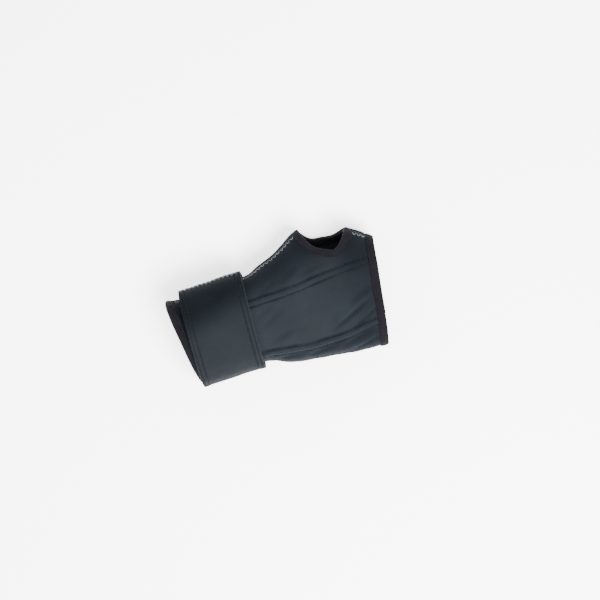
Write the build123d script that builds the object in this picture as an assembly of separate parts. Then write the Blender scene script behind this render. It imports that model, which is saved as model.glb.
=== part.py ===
"""Left-hand wrist splint: a sewn neoprene sleeve, a wide wrap-round wrist strap and a palmar stay.

The splint lies on its dorsal (back of hand) side. +X points to the fingers, +Y to the thumb and
+Z out of the palm. Millimetres. Stations are given along the sleeve, then everything is moved so
that the origin is under the centre of the whole splint, on the surface it lies on.
"""
from build123d import *
import os
from math import atan, cos, degrees, pi, radians, sin

os.makedirs("parts", exist_ok=True)

# Sleeve: (place along the hand, ulnar side, radial side, height of the dorsal side)
STATIONS = [
    (-91.5, -34.7, 26.8, 4.9),
    (-72.3, -34.1, 28.75, 4.9),
    (-53.0, -33.5, 30.7, 4.9),
    (-33.8, -32.9, 32.65, 4.9),
    (-14.5, -32.3, 34.6, 4.9),
    (5.0, -38.6, 42.5, 4.2),
    (26.0, -42.7, 55.3, 2.8),
    (45.0, -45.6, 57.0, 1.8),
    (63.0, -46.4, 49.4, 1.25),
    (80.0, -46.0, 38.8, 1.0),
    (97.0, -45.0, 26.0, 0.95),
]
PALM_HEIGHT = 46.5  # at place 0
PALM_FALL = 0.09  # the palm side drops this much for each millimetre towards the fingers
CREST = -3.5  # the line along which palm and dorsal sides are highest and lowest
PALM_ROUNDNESS = 2.6  # exponents of the superellipse quarters
DORSAL_ROUNDNESS = 3.6
OUTLINE_POINTS = 24

FABRIC = 2.8  # laminated neoprene panel
SEAM_GAP = 0.15  # half the gap between two panels that are sewn edge to edge

# Panel seams in plan: the two raised ridges of the palm, and the height of the radial side seam
RADIAL_RIDGE = [(-100, 12.0), (-58, 12.1), (-16, 12.3), (14, 13.6), (45, 17.2), (100, 21.8)]
ULNAR_RIDGE = [(-100, -27.6), (-56, -27.8), (-12, -28.6), (30, -32.2), (65, -28.0), (100, -24.0)]
SIDE_SEAM_HEIGHT = 26.0
SIDE_SEAM_FALL = 0.05
RIDGE_WIDTH = 4.6
RIDGE_HEIGHT = 1.5
SIDE_SEAM_WIDTH = 6.0
SIDE_SEAM_THICK = 1.0

# Bound edges
DISTAL_EDGE = 79.4  # on the centre line
DISTAL_SLANT = -7.7
PROXIMAL_EDGE = -77.0
PROXIMAL_SLANT = 6.0
BINDING_WIDTH = 6.0
BINDING_THICK = 0.9

# Thumb hole, looking along its axis
THUMB_X = 45.3
THUMB_HALF_LENGTH = 18.8
THUMB_HALF_HEIGHT = 17.0
THUMB_TILT = -11.0
THUMB_START = 18.0
THUMB_BINDING_WIDTH = 4.5
THUMB_BINDING_RISE = 0.9  # where the hole meets the flatter palm and dorsal sides

# Palmar stay and the pocket that holds it
STAY_LENGTH = 126.0
STAY_WIDTH = 24.0
STAY_THICK = 1.6
STAY_PROXIMAL = -66.0
STAY_DEPTH = 2.4  # below the inside of the palm, at the crest, so that it clears the proximal binding
TIP_LENGTH = 11.0
TIP_WALL = 0.4
TIP_FIT = 0.02
POCKET_CLEARANCE = 0.35
POCKET_FABRIC = 1.0
POCKET_SEAM = 3.2
POCKET_START = -68.0
POCKET_END = 65.0

# Wrist strap: how far its two faces stand off the sleeve, its two slanted edges, and its hinges
STRAP_INSIDE = 1.9
STRAP_OUTSIDE = 4.9
STRAP_FROM = -77.0
STRAP_TO = -17.5
STRAP_PLAN = [(-76.6, 46), (-17.5, 46), (-25.0, -46), (-71.4, -46)]
STRAP_GAP = 0.15
STRAP_HINGES = {  # polar direction of each fold line, from the ulnar side over the palm
    "strap_ulnar": 178.0,
    "strap_palm_ulnar": 128.0,
    "strap_palm_radial": 90.0,
    "strap_radial_top": 50.0,
    "strap_radial_side": 8.0,
    "strap_tab": -30.0,
}
TAB_END = -62.0
BASE_END = -74.0
LOOP_THICK = 0.75
HOOK_FROM, HOOK_TO = -59.0, -34.0
HOOK_INSIDE, HOOK_OUTSIDE = 1.05, 1.85
HOOK_MARGIN = 8.0

FAR = 400.0


def between(x):
    """Ulnar side, radial side and dorsal height of the sleeve at a place along it."""
    for low, high in zip(STATIONS, STATIONS[1:]):
        if low[0] <= x <= high[0]:
            share = (x - low[0]) / (high[0] - low[0])
            return [a + share * (b - a) for a, b in zip(low[1:], high[1:])]
    raise ValueError(x)


def skin_point(x, direction, outset):
    """The point of the sleeve's skin, moved out by outset, in a polar direction in degrees."""
    ulnar, radial, dorsal = between(x)
    palm = PALM_HEIGHT - PALM_FALL * x
    across, up = cos(radians(direction)), sin(radians(direction))
    power = PALM_ROUNDNESS if up >= 0 else DORSAL_ROUNDNESS
    reach = (abs(across) ** power + abs(up) ** power) ** (-1 / power)
    half_width = (radial - CREST if across >= 0 else CREST - ulnar) + outset
    half_height = (palm - dorsal) / 2 + outset
    return Vector(x, CREST + half_width * reach * across, (palm + dorsal) / 2 + half_height * reach * up)


def sleeve(outset):
    """The solid inside the sleeve's skin moved out by outset."""
    sections = []
    for x, *_ in STATIONS:
        turn = [360 * i / OUTLINE_POINTS for i in range(OUTLINE_POINTS)]
        outline = Spline(*[skin_point(x, t, outset) for t in turn], periodic=True)
        sections.append(make_face(outline))
    return loft(sections)


def slab(edge, slant, start, end):
    """Everything from start to end along the sleeve, measured from a slanted edge."""
    block = Box(end - start, FAR, FAR, align=(Align.MIN, Align.CENTER, Align.CENTER))
    return Pos(edge, 0, 0) * Rot(0, 0, slant) * Pos(start, 0, 0) * block


def upright(points):
    """A tall prism over a plan outline."""
    return extrude(make_face(Polyline(*points, close=True)), FAR / 2, both=True)


def shifted(line, offset):
    return [(x, y + offset) for x, y in line]


def strip(line, low, high):
    """The prism that runs along a smooth plan line, from low to high beside it."""
    near, far = shifted(line, low), shifted(line, high)[::-1]
    ends = [Line(near[-1], far[0]), Line(far[-1], near[0])]
    outline = make_face([Spline(*near), ends[0], Spline(*far), ends[1]])
    return extrude(outline, FAR / 2, both=True)


def side_plane(low, high):
    """The slab that runs along the radial side seam, from low to high above it."""
    tilt = degrees(atan(SIDE_SEAM_FALL))
    block = Box(FAR, FAR, high - low, align=(Align.CENTER, Align.CENTER, Align.MIN))
    return Pos(0, 0, SIDE_SEAM_HEIGHT) * Rot(0, tilt, 0) * Pos(0, 0, low) * block


def thumb_cutter(grow_x, grow_z):
    """The rounded prism that opens the thumb hole, grown along and across the hand."""
    half_x, half_z = THUMB_HALF_LENGTH + grow_x, THUMB_HALF_HEIGHT + grow_z
    corners = []
    for i in range(24):
        c, s = cos(2 * pi * i / 24), sin(2 * pi * i / 24)
        reach = (abs(c) ** 3 + abs(s) ** 3) ** (-1 / 3)
        corners.append((half_x * reach * c, half_z * reach * s))
    outline = make_face(Spline(*corners, periodic=True))
    prism = extrude(Plane.XZ.offset(-THUMB_START) * outline, -FAR / 2)
    height = SIDE_SEAM_HEIGHT - SIDE_SEAM_FALL * THUMB_X - 1.2
    middle = (THUMB_X, (THUMB_START + 55) / 2, height)
    return Pos(*middle) * Rot(0, 0, THUMB_TILT) * Pos(0, -middle[1], 0) * prism


def palm_box(x_from, x_to, width, depth_from, depth_to):
    """A block under the palm, its depth measured down from the inside of the palm at the crest."""
    tilt = degrees(atan(PALM_FALL))
    block = Box(x_to - x_from, width, depth_to - depth_from, align=(Align.MIN, Align.CENTER, Align.MAX))
    inside = Pos(0, CREST, PALM_HEIGHT) * Rot(0, tilt, 0) * Pos(0, 0, -FABRIC)
    return inside * Pos(x_from, 0, -depth_from) * block


def stay_bar(x_from, length, width, depth, thick, corner):
    bar = palm_box(x_from, x_from + length, width, depth, depth + thick)
    return fillet(bar.edges().filter_by(lambda e: abs(e.length - thick) < 0.01), corner)


def grown_stay(extra):
    """The stay, made larger all round."""
    return stay_bar(
        STAY_PROXIMAL - extra,
        STAY_LENGTH + 2 * extra,
        STAY_WIDTH + 2 * extra,
        STAY_DEPTH - extra,
        STAY_THICK + 2 * extra,
        STAY_WIDTH / 2 - 1 + extra,
    )


def strap_piece(start, end, inside, outside, x_from=STRAP_FROM, x_to=STRAP_TO, steps=8):
    """A stretch of the strap, from one polar direction to another, straight along its width."""
    ends = []
    for x in (x_from, x_to):
        turns = [start + (end - start) * i / steps for i in range(steps + 1)]
        outer = [skin_point(x, t, outside) for t in turns]
        inner = [skin_point(x, t, inside) for t in turns]
        wires = [Spline(*outer), Line(outer[-1], inner[-1]), Spline(*inner[::-1]), Line(inner[0], outer[0])]
        ends.append(make_face(wires))
    return loft(ends, ruled=True)


def turn_of(millimetres, direction):
    """The change of polar direction that moves a strap's outer face by a length."""
    here = skin_point(-47, direction, STRAP_OUTSIDE)
    near = skin_point(-47, direction + 0.5, STRAP_OUTSIDE)
    return 0.5 * millimetres / (near - here).length


# The sleeve's skins
skin = sleeve(0)
lining = sleeve(-FABRIC)
kept = slab(PROXIMAL_EDGE, PROXIMAL_SLANT, 0, FAR / 2) & slab(DISTAL_EDGE, DISTAL_SLANT, -FAR / 2, 0)
tube = (skin - lining) & kept
wall = tube - thumb_cutter(0, 0)

# Four panels, sewn edge to edge
ulnar_side = strip(ULNAR_RIDGE, -FAR / 2, -SEAM_GAP)
rest_of_hand = strip(ULNAR_RIDGE, SEAM_GAP, FAR / 2)
above_seam = side_plane(SEAM_GAP, FAR / 2)
below_seam = side_plane(-FAR / 2, -SEAM_GAP)
nodes = {
    "ulnar_panel": wall & ulnar_side,
    "palmar_panel": wall & rest_of_hand & strip(RADIAL_RIDGE, -FAR / 2, -SEAM_GAP) & above_seam,
    "thenar_panel": wall & strip(RADIAL_RIDGE, SEAM_GAP, FAR / 2) & above_seam,
    "dorsal_panel": wall & rest_of_hand & below_seam,
}

# Bindings folded over the three open edges
bound_layer = sleeve(BINDING_THICK) - sleeve(-FABRIC - BINDING_THICK)
end_bands = {
    "distal_binding": slab(DISTAL_EDGE, DISTAL_SLANT, -BINDING_WIDTH, BINDING_THICK),
    "proximal_binding": slab(PROXIMAL_EDGE, PROXIMAL_SLANT, -BINDING_THICK, BINDING_WIDTH),
}
for name, band in end_bands.items():
    nodes[name] = (bound_layer & band) - tube
covered = (THUMB_BINDING_WIDTH, THUMB_BINDING_RISE)
thumb_ring = thumb_cutter(*covered) - thumb_cutter(-BINDING_THICK, -0.3)
nodes["thumb_binding"] = (bound_layer & thumb_ring) - wall

# Raised seams, which stop at the bindings
clear_of_ends = slab(PROXIMAL_EDGE, PROXIMAL_SLANT, BINDING_WIDTH, FAR / 2) & slab(
    DISTAL_EDGE, DISTAL_SLANT, -FAR / 2, -BINDING_WIDTH
)
palm_half = Pos(0, 0, FAR / 2 + SIDE_SEAM_HEIGHT) * Box(FAR, FAR, FAR)
dorsal_half = Pos(0, 0, SIDE_SEAM_HEIGHT - FAR / 2) * Box(FAR, FAR, FAR)
radial_half = Pos(0, FAR / 2 + CREST, 0) * Box(FAR, FAR, FAR)
ridge_layer = (sleeve(RIDGE_HEIGHT) - skin) & clear_of_ends
seam_layer = (sleeve(SIDE_SEAM_THICK) - skin) & clear_of_ends
half_ridge = RIDGE_WIDTH / 2
nodes["radial_ridge"] = ridge_layer & palm_half & strip(RADIAL_RIDGE, -half_ridge, half_ridge)
nodes["ulnar_ridge"] = ridge_layer & palm_half & strip(ULNAR_RIDGE, -half_ridge, half_ridge)
nodes["dorsal_seam"] = seam_layer & dorsal_half & strip(ULNAR_RIDGE, -half_ridge, half_ridge)
side_band = side_plane(-SIDE_SEAM_WIDTH / 2, SIDE_SEAM_WIDTH / 2) & radial_half
nodes["side_seam"] = (seam_layer & side_band) - thumb_cutter(*covered)

# Palmar stay with dipped tips, in its pocket inside the palm
stay_end = STAY_PROXIMAL + STAY_LENGTH
middle = slab(0, 0, STAY_PROXIMAL + TIP_LENGTH, stay_end - TIP_LENGTH)
nodes["palmar_stay"] = grown_stay(0)
nodes["stay_tips"] = grown_stay(TIP_WALL) - middle - grown_stay(TIP_FIT)
cavity_depth = STAY_DEPTH + STAY_THICK + TIP_WALL + POCKET_CLEARANCE
cavity_width = STAY_WIDTH + 2 * (TIP_WALL + POCKET_CLEARANCE)
cavity_end = stay_end + TIP_WALL + POCKET_CLEARANCE
pocket = palm_box(POCKET_START, POCKET_END, cavity_width + 2 * POCKET_SEAM, -9, cavity_depth + POCKET_FABRIC)
cavity = palm_box(POCKET_START - 9, cavity_end, cavity_width, -9, cavity_depth)
nodes["stay_pocket"] = (pocket & lining) - cavity

# Strap: the sewn base round the dorsal and ulnar sides, then the free run in hinged lengths
plan = upright(STRAP_PLAN)
first = STRAP_HINGES["strap_ulnar"]
base_start = first + turn_of(STRAP_GAP, first)
base_angles = (base_start, 360 + BASE_END)
nodes["strap_base"] = strap_piece(*base_angles, STRAP_INSIDE, STRAP_OUTSIDE, steps=16) & plan
backing_box = Pos((STRAP_FROM + STRAP_TO) / 2, -10, 0) * Box(40, 26, 30)
nodes["strap_backing"] = (sleeve(STRAP_INSIDE - 0.1) - sleeve(0)) & backing_box
loop_box = Pos(-47, 9, 0) * Box(46, FAR / 2, 30, align=(Align.CENTER, Align.MIN, Align.CENTER))
nodes["loop_patch"] = (sleeve(LOOP_THICK) - skin) & loop_box
starts = list(STRAP_HINGES.values())
for (name, start), end in zip(STRAP_HINGES.items(), starts[1:] + [TAB_END]):
    after = start - turn_of(STRAP_GAP, start)
    before = end + turn_of(STRAP_GAP, end)
    nodes[name] = strap_piece(after, before, STRAP_INSIDE, STRAP_OUTSIDE - 0.3 * (name == "strap_tab")) & plan
nodes["hook_pad"] = strap_piece(
    HOOK_FROM, HOOK_TO, HOOK_INSIDE, HOOK_OUTSIDE, STRAP_FROM + HOOK_MARGIN, STRAP_TO - HOOK_MARGIN
)

# The origin is under the middle of the splint
box = Compound(children=[Compound(children=list(n.solids())) for n in nodes.values()]).bounding_box()
shift = Vector(-(box.min.X + box.max.X) / 2, -(box.min.Y + box.max.Y) / 2, -box.min.Z)
print("shift", shift, "size", box.size)
for name, node in nodes.items():
    solids = [s for s in node.solids() if s.volume > 0.01]
    shape = solids[0] if len(solids) == 1 else Compound(children=solids)
    export_step(Pos(shift) * shape, f"parts/{name}.step")
for name, direction in STRAP_HINGES.items():
    low = skin_point(STRAP_FROM, direction, STRAP_OUTSIDE) + shift
    high = skin_point(STRAP_TO, direction, STRAP_OUTSIDE) + shift
    along = (high - low).normalized()
    print(name, "hinge at", [round(v, 3) for v in (low + high) * 0.5], "axis", [round(v, 5) for v in along])
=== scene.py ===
import math

import bpy
import numpy as np
from mathutils import Matrix, Vector


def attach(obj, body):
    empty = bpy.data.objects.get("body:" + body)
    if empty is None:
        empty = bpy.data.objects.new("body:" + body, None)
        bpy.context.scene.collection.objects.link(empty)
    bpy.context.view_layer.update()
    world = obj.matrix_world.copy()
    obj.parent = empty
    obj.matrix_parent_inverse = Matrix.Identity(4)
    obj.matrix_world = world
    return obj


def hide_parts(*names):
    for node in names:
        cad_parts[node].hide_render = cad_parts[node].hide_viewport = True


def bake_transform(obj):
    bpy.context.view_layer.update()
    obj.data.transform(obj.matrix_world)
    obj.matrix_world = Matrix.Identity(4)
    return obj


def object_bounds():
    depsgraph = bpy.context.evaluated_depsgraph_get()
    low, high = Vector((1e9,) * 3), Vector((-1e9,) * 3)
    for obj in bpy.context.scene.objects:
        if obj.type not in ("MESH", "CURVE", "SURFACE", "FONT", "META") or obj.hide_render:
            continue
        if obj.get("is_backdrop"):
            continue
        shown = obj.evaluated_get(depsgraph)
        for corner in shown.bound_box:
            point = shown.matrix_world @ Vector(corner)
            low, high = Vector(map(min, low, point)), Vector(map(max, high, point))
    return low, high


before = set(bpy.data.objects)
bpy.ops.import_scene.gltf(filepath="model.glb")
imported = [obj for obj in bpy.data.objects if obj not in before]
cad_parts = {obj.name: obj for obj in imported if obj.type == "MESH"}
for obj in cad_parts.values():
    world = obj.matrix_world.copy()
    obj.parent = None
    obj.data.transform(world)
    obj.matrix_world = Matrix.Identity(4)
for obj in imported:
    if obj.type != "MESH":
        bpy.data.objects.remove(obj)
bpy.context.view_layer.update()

# ---------------------------------------------------------------------------------------------
# Studio: a white table top that glows a little, one large soft light from the little-finger
# side, a weak fill, and a long lens above the palm, turned so that the hand points up and right.
VIEW_SLOPE = math.radians(16.5)
VIEW_WIDTH = 0.462
VIEW_SHIFT = (0.0149, 0.0035)
LENS = 85.0
SENSOR = 36.0
AIM_HEIGHT = 0.03
TABLE_HALF, TABLE_DROP = 2, 0.0003

view_right = Vector((math.cos(VIEW_SLOPE), -math.sin(VIEW_SLOPE), 0))
view_up = Vector((math.sin(VIEW_SLOPE), math.cos(VIEW_SLOPE), 0))
aim = view_right * VIEW_SHIFT[0] + view_up * VIEW_SHIFT[1] + Vector((0, 0, AIM_HEIGHT))
lens_data = bpy.data.cameras.new("palm_camera")
lens_data.lens, lens_data.sensor_width = LENS, SENSOR
lens_data.clip_start, lens_data.clip_end = 0.05, 20
camera = bpy.data.objects.new("palm_camera", lens_data)
bpy.context.scene.collection.objects.link(camera)
camera.location = aim + Vector((0, 0, VIEW_WIDTH * LENS / SENSOR))
camera.rotation_euler = (0, 0, -VIEW_SLOPE)
bpy.context.scene.camera = camera

paper = bpy.data.materials.new("pale_table")
paper.use_nodes = True
shader = paper.node_tree.nodes["Principled BSDF"]
shader.inputs["Base Color"].default_value = (0.95, 0.95, 0.95, 1)
shader.inputs["Roughness"].default_value = 0.9
shader.inputs["Emission Color"].default_value = (1, 1, 1, 1)
shader.inputs["Emission Strength"].default_value = 1.6
table_data = bpy.data.meshes.new("table_top")
corners = [(x * TABLE_HALF, y * TABLE_HALF, 0) for x, y in ((-1, -1), (1, -1), (1, 1), (-1, 1))]
table_data.from_pydata(corners, [], [(0, 1, 2, 3)])
table_top = bpy.data.objects.new("table_top", table_data)
table_top.location.z = -TABLE_DROP
table_data.materials.append(paper)
bpy.context.scene.collection.objects.link(table_top)
table_top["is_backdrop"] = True

sky = bpy.data.worlds.new("studio")
sky.use_nodes = True
sky.node_tree.nodes["Background"].inputs["Color"].default_value = (0.97, 0.98, 1, 1)
sky.node_tree.nodes["Background"].inputs["Strength"].default_value = 2.0
bpy.context.scene.world = sky


def softbox(name, place, size, power):
    """A square area light that faces the splint."""
    data = bpy.data.lights.new(name, "AREA")
    data.size, data.energy = size, power
    light = bpy.data.objects.new(name, data)
    light.location = place
    light.rotation_euler = (Vector((0, 0, 0.02)) - light.location).to_track_quat("-Z", "Y").to_euler()
    bpy.context.scene.collection.objects.link(light)


softbox("key_softbox", (0.25, -0.55, 1.15), 0.6, 84)
softbox("fill_softbox", (-0.8, -0.2, 1.0), 0.9, 10)

# ---------------------------------------------------------------------------------------------
# Palmar panel: the middle panel of the sleeve, cut from 2.8 mm neoprene with knitted nylon on
# both faces. It covers the stay, and its two long edges are sewn into the raised ridges.
MM = 0.001
TO_FRAME = np.array((-2.12, -5.34, 0.0))
FABRIC = 2.8
CREST = -3.5
# How far the worn sleeve reaches to each side, at stations along the hand from wrist to fingers.
STATION = np.array(
    (-91.5, -72.3, -53.0, -33.8, -14.5, -5.0, 5.0, 16.0, 26.0, 45.0, 63.0, 72.0, 80.0, 97.0)
)
ULNAR_SIDE = np.array(
    (-34.7, -34.1, -33.5, -32.9, -35.0, -38.9, -41.5, -42.8, -43.9, -45.8, -46.6, -46.8, -45.6, -43.0)
)
RADIAL_SIDE = np.array(
    (34.0, 30.2, 30.7, 32.65, 34.4, 38.4, 42.2, 48.2, 55.0, 57.0, 49.6, 44.9, 39.0, 26.0)
)
DORSAL_SIDE = np.array((4.9, 4.9, 4.9, 4.9, 4.9, 4.6, 4.2, 3.5, 2.8, 1.8, 1.25, 1.1, 1.0, 0.95))
PALM_HEIGHT, PALM_FALL = 46.5, 0.09
DISTAL_EDGE, DISTAL_LEAN = 79.4, 0.135
PROXIMAL_EDGE, PROXIMAL_LEAN = -77.0, -0.14
RIDGE_X = np.array((-100.0, -58.0, -16.0, 14.0, 45.0, 66.0, 100.0))
RADIAL_RIDGE_Y = np.array((12.0, 12.1, 12.3, 13.6, 17.2, 18.9, 21.0))
ULNAR_RIDGE_Y = np.array((-27.6, -27.8, -28.6, -31.6, -31.4, -28.0, -24.0))
STEP = 0.85


def through(x, stations, values):
    """A smooth line through values given at stations."""
    slopes = np.gradient(values, stations)
    low = np.clip(np.searchsorted(stations, x) - 1, 0, len(stations) - 2)
    wide = stations[low + 1] - stations[low]
    t = np.clip((x - stations[low]) / wide, 0, 1)
    rise = values[low] * (1 + 2 * t) * (1 - t) ** 2 + values[low + 1] * t**2 * (3 - 2 * t)
    return rise + wide * (slopes[low] * t * (1 - t) ** 2 - slopes[low + 1] * t**2 * (1 - t))


def section_point(x, turn, out=0.0):
    """The point of the sleeve's skin, moved out, at a place along it and a direction round the hand."""
    ulnar, radial = through(x, STATION, ULNAR_SIDE), through(x, STATION, RADIAL_SIDE)
    dorsal, palm = through(x, STATION, DORSAL_SIDE), PALM_HEIGHT - PALM_FALL * x
    across, up = np.cos(turn), np.sin(turn)
    power = 3.1 - 0.5 * np.clip(2.5 * up, -1, 1)
    reach = (np.abs(across) ** power + np.abs(up) ** power) ** (-1 / power)
    y = CREST + (np.where(across >= 0, radial - CREST, CREST - ulnar) + out) * reach * across
    z = (palm + dorsal) / 2 + ((palm - dorsal) / 2 + out) * reach * up
    return np.stack(np.broadcast_arrays(x, y, z), -1)


def lean(place):
    """How much the cut lines of the panels slant across the hand at a place along it."""
    share = (np.clip(place, -90, 95) - PROXIMAL_EDGE) / (DISTAL_EDGE - PROXIMAL_EDGE)
    return PROXIMAL_LEAN + share * (DISTAL_LEAN - PROXIMAL_LEAN)


def skin(place, turn):
    """The same, but at a place counted along the slanted cut lines."""
    x = place + 0 * turn
    for _ in range(4):
        x = place + lean(place) * section_point(x, turn)[..., 1]
    return section_point(x, turn)


def wander(point, size, seed):
    """A smooth random height, about -1 to 1, that changes over a distance of size."""
    draw = np.random.default_rng(seed)
    height = 0
    for _ in range(7):
        direction = draw.normal(size=3)
        direction *= 2 * math.pi / (size * draw.uniform(0.8, 2.0) * np.linalg.norm(direction))
        height = height + np.sin(point @ direction + draw.uniform(0, 7))
    return height / 3.4


def fold(point, start, end, width, height):
    """A crease or a bulge over a line in plan, on the palm side."""
    a, b = np.array(start, float), np.array(end, float)
    flat = point[..., :2] - a
    share = np.clip(flat @ (b - a) / ((b - a) @ (b - a)), 0, 1)
    away = np.linalg.norm(flat - share[..., None] * (b - a), axis=-1)
    ends = np.sin(math.pi * np.clip(share, 0.02, 0.98)) ** 0.5
    palm_side = 1 / (1 + np.exp(-(point[..., 2] - 26) / 3))
    return height * np.exp(-((away / width) ** 2)) * ends * palm_side


CREASES = [  # start, end, width, height: where the fabric buckles at the wrist and the palm
    ((-15, -8), (3, 2), 2.6, -0.35),
    ((-16, 1), (-2, 7), 2.2, -0.3),
    ((-13, -21), (8, -16), 2.6, -0.35),
    ((36, -25), (68, -10), 1.9, -0.95),
    ((40, -21), (70, -6), 1.6, 0.6),
    ((50, -29), (72, -17), 1.5, -0.85),
    ((58, -24), (74, -13), 1.3, 0.55),
    ((54, -8), (74, 0), 2.0, -0.5),
    ((22, 22), (40, 26), 2.4, -0.55),
    ((4, 20), (24, 31), 3.0, -0.6),
    ((-12, 16), (4, 24), 2.0, -0.5),
    ((40, -39), (68, -32), 1.7, -0.9),
    ((34, -42), (60, -40), 1.5, 0.6),
    ((48, -43), (72, -39), 1.5, -0.8),
    ((12, -38), (36, -37), 1.8, -0.8),
    ((-12, -34), (10, -36), 1.8, -0.7),
]


def creases(point):
    """The height of the standing wrinkles alone."""
    return sum(fold(point, start, end, width, deep) for start, end, width, deep in CREASES)


def relief(point):
    """How far the worn fabric stands off its even form."""
    height = 0.38 * wander(point, 26, 11) + 0.16 * wander(point, 9, 12) + creases(point)
    for line in (RADIAL_RIDGE_Y, ULNAR_RIDGE_Y):
        away = point[..., 1] - through(point[..., 0], RIDGE_X, line)
        pucker = 0.14 * np.sin(point[..., 0] * 1.05 + 1.5 * wander(point, 14, 13))
        pucker = pucker + 0.3 * wander(point, 13, 14)
        height = height + pucker * np.exp(-((away / 5.5) ** 2)) - 0.6 * np.exp(-((away / 3.4) ** 2))
    return height * np.clip((point[..., 2] - 1.5) / 9, 0, 1)


def outward(point_at, first, second, step_a=0.3, step_b=0.006):
    """The outward direction of a surface given as a function of two parameters."""
    ahead = point_at(first + step_a, second) - point_at(first - step_a, second)
    round_it = point_at(first, second + step_b) - point_at(first, second - step_b)
    normal = np.cross(round_it, ahead)
    return normal / np.linalg.norm(normal, axis=-1, keepdims=True)


def sleeve(place, turn, out):
    """A point of the worn sleeve, out millimetres off its outer face."""
    point = skin(place, turn)
    off = np.asarray(out + relief(point))[..., None]
    return point + outward(skin, place, turn) * off


def turn_where(place, wanted, low, high):
    """The direction between low and high at which wanted(point) passes zero."""
    low, high = np.full(place.shape, low), np.full(place.shape, high)
    sign = np.sign(wanted(skin(place, low)))
    for _ in range(34):
        middle = (low + high) / 2
        same = np.sign(wanted(skin(place, middle))) == sign
        low, high = np.where(same, middle, low), np.where(same, high, middle)
    return (low + high) / 2


def painted_shading(point, shade=None):
    """How light the fabric is drawn, as painted shade and light: darker towards the thumb side, lower
    down the sides, towards the finger end, past the ulnar ridge and near the thumb hole; and,
    unless a shade is given to use in their place, painted shade beside the ridges and in the
    creases, with painted light on the raised folds."""
    x, y, z = point[..., 0], point[..., 1], point[..., 2]
    # Painted shade: darker towards the thumb side, lower down the sides, towards the finger end, past the
    # ulnar ridge and near the thumb hole.
    ease = np.clip((36 + 0.25 * x - y) / 27, 0, 1)
    pale = ease**2 * (3 - 2 * ease) * np.clip((z - 4) / 22, 0.35, 1)
    pale = pale * (1 - 0.5 * np.clip((x - 30) / 42, 0, 1)) * (1 - 0.55 * np.clip((-29 - y) / 7, 0, 1))
    pale = pale * (1 - 0.65 * np.clip((x - 46) / 20, 0, 1) * np.clip((y - 6) / 14, 0, 1))
    if shade is not None:
        return pale * shade
    # Painted shade in two lines beside each ridge, uneven along it and fading out towards the finger end.
    for line in (RADIAL_RIDGE_Y, ULNAR_RIDGE_Y):
        away = np.abs(y - through(x, RIDGE_X, line))
        depth = np.clip(0.5 + 0.75 * wander(point, 15, 15), 0, 0.95) * (z > 15)
        depth = depth * np.clip((70 - x) / 15, 0, 1)
        pale = pale * (1 - depth * np.exp(-(((away - 2.8) / 0.9) ** 2)))
    # Painted shade in the crease valleys and painted light on the raised folds.
    return pale * np.clip(1 + 0.75 * creases(point), 0.2, 1.35)


def swept(name, rings, *, loop=False, two_faced=False, start=0.0, shade=None):
    """A closed mesh from rings of points in millimetres. The second half of a ring is the first
    half's other face, in reverse, so the two ends close with quads between the two faces. Start
    is where its weave begins, and the shade, if given, takes the place of the painted shade beside
    the ridges and in the creases."""
    count, size = rings.shape[:2]
    half = size // 2
    points = ((rings + TO_FRAME) * MM).reshape(-1, 3)
    row, column = np.meshgrid(np.arange(count if loop else count - 1), np.arange(size), indexing="ij")
    after, beside_it = (row + 1) % count, (column + 1) % size
    corners = (row * size + column, row * size + beside_it, after * size + beside_it, after * size + column)
    quads = np.stack(corners, -1).reshape(-1, 4)
    is_inner = ((column >= half) & (column < size - 1)).reshape(-1)
    if not loop:
        pair = np.arange(half - 1)
        cap = np.stack([pair, size - 1 - pair, size - 2 - pair, pair + 1], -1)
        quads = np.concatenate([quads, cap, cap[:, ::-1] + (count - 1) * size])
        is_inner = np.concatenate([is_inner, np.zeros(2 * len(cap), bool)])
    a, b, c, d = (points[quads[:, i]] for i in range(4))
    if (np.cross(b, c) * a).sum() + (np.cross(c, d) * a).sum() < 0:
        quads = quads[:, ::-1]
    data = bpy.data.meshes.new(name)
    data.from_pydata(points.tolist(), [], quads.tolist())
    data.polygons.foreach_set("use_smooth", np.ones(len(quads), bool))
    if two_faced:
        data.polygons.foreach_set("material_index", is_inner.astype(np.int32))
    if not loop:
        ends = np.empty(2 * len(data.edges), np.int32)
        data.edges.foreach_get("vertices", ends)
        ring = ends.reshape(-1, 2) // size
        at_end = (ring[:, 0] == ring[:, 1]) & np.isin(ring[:, 0], (0, count - 1))
        data.edges.foreach_set("use_edge_sharp", at_end)
    closed = np.concatenate([rings, rings[:1]]) if loop else rings
    steps = np.linalg.norm(np.diff(closed, axis=0), axis=-1).mean(1)
    along = start + np.concatenate([[0], np.cumsum(steps)])
    around = np.cumsum(np.linalg.norm(np.diff(rings, axis=1), axis=-1), 1)
    around = np.concatenate([np.zeros((count, 1)), around], 1)
    corners = quads.reshape(-1)
    u, v = along[corners // size], around.reshape(-1)[corners]
    if loop:
        closing = (corners // size == 0) & np.repeat((quads // size == count - 1).any(1), 4)
        u = np.where(closing, along[count], u)
    data.uv_layers.new(name="weave").data.foreach_set("uv", np.stack([u, v], -1).astype(np.float32).ravel())
    # Painted shade for every point, by which the knit materials are darkened.
    painted_shade = data.attributes.new("painted_shade", "FLOAT", "POINT")
    painted_shade.data.foreach_set("value", painted_shading(rings, shade).astype(np.float32).ravel())
    piece = bpy.data.objects.new(name, data)
    bpy.context.scene.collection.objects.link(piece)
    return piece


def sheet_rings(low_line, high_line, across, outer=0.0, inner=-FABRIC):
    """Rings of a panel between two lines, each a row of (place, direction)."""
    share = np.linspace(0, 1, across)[None, :]
    place = low_line[0][:, None] * (1 - share) + high_line[0][:, None] * share
    turn = low_line[1][:, None] * (1 - share) + high_line[1][:, None] * share
    return np.concatenate([sleeve(place, turn, outer), sleeve(place, turn, inner)[:, ::-1]], 1)


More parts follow.
